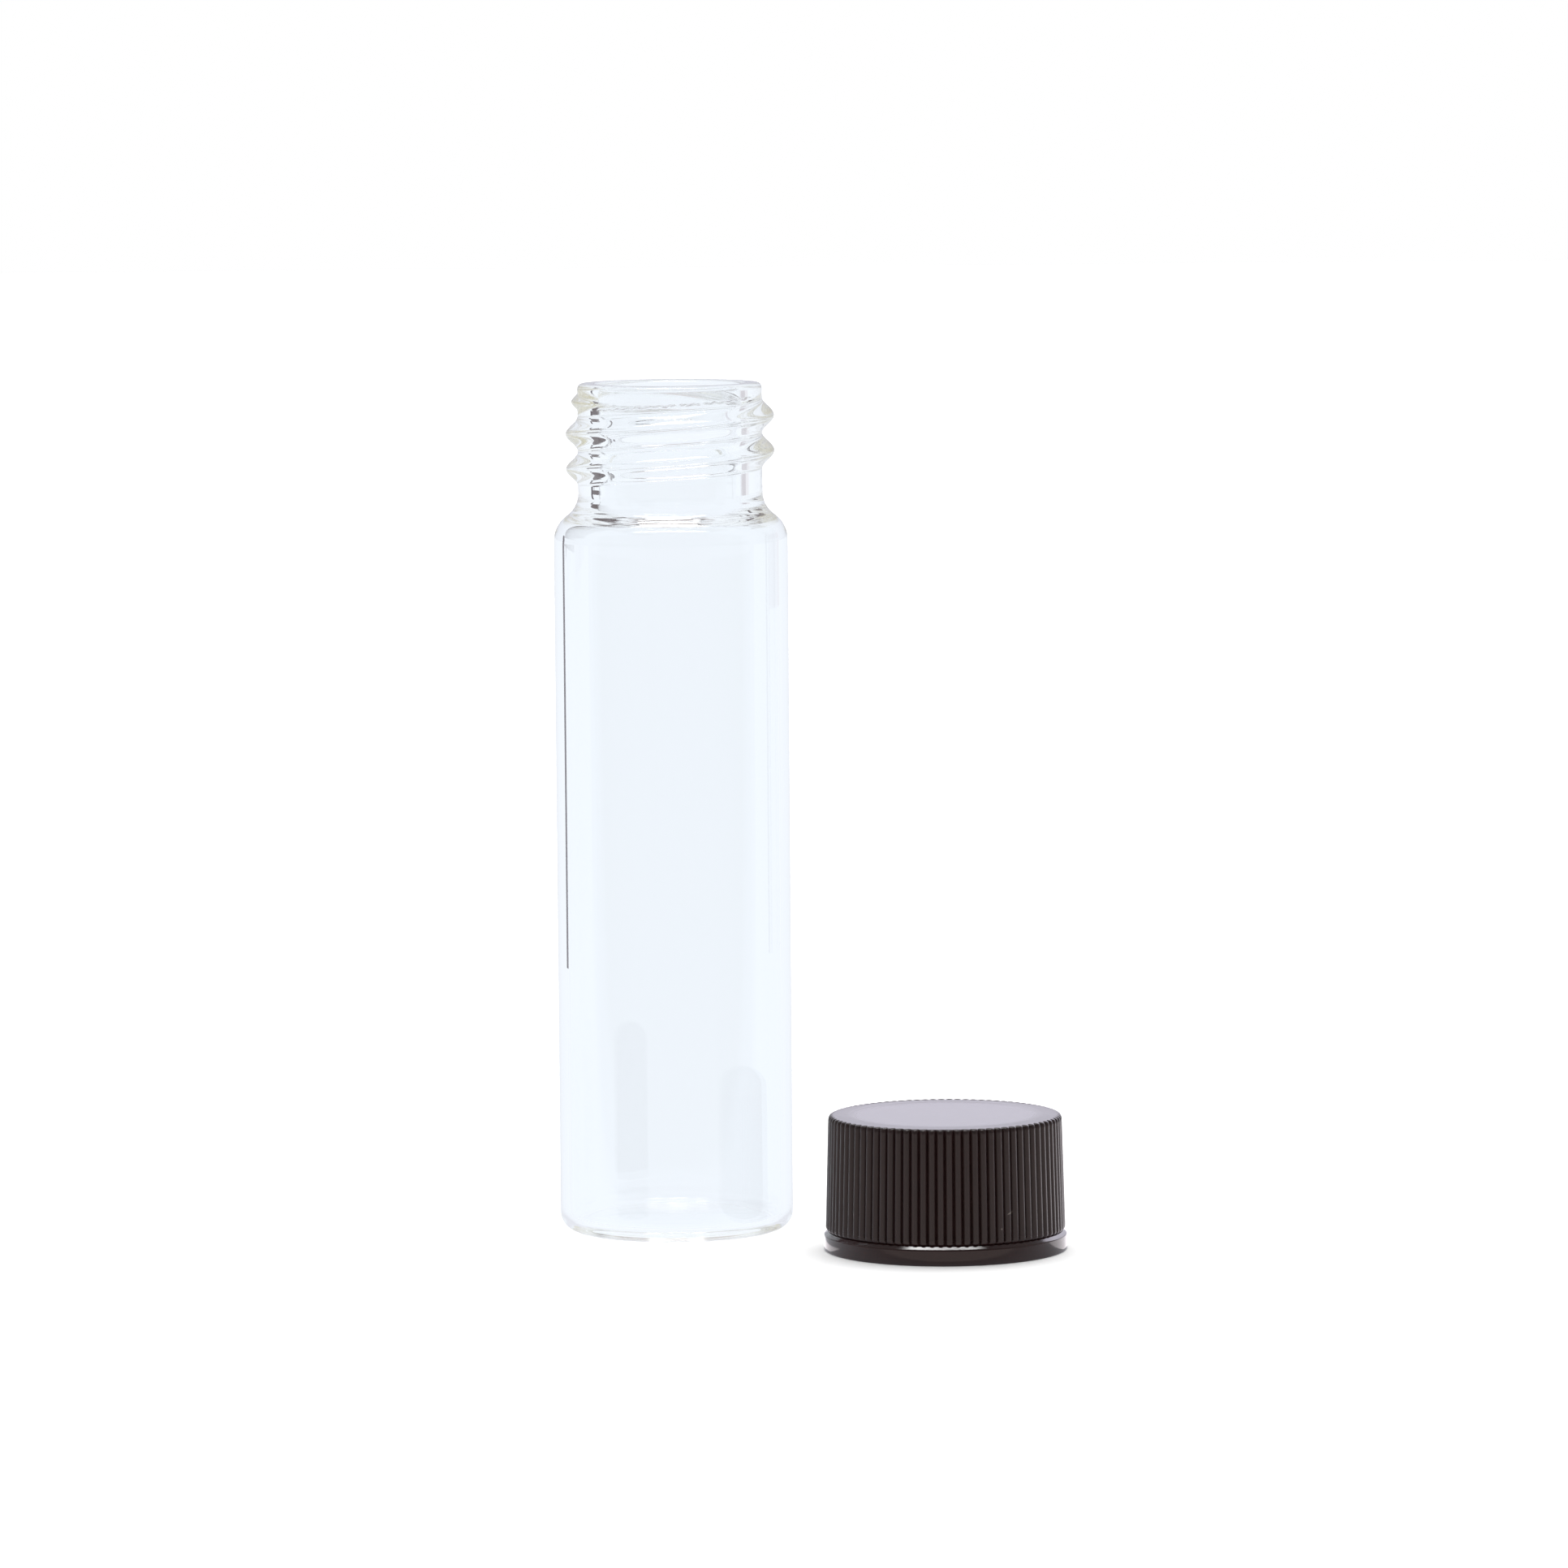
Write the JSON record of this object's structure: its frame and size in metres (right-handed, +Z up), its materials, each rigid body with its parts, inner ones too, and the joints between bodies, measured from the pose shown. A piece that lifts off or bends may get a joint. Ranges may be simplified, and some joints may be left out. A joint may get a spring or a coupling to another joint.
{
  "type": "glass sample vial",
  "caption": "Clear glass sample vial with a straight body and a screw-threaded neck, and its black ribbed screw cap with a sealing disc, taken off and standing beside it.",
  "frame": {"origin": "middle of the vial's foot, on the surface that the vial and its cap stand on", "axes": "+Z up along the vial's axis towards its mouth; +X to the right and -Y towards the viewer, as in the picture"},
  "size_m": [0.0473, 0.0369, 0.08],
  "materials": {
    "clear_glass": "fire-polished",
    "black_plastic": "satin moulded",
    "liner_foam": "matte foam"
  },
  "bodies": {
    "root": {"vial_body": "clear_glass", "screw_cap": "black_plastic", "cap_liner": "liner_foam"}
  },
  "joints": []
}
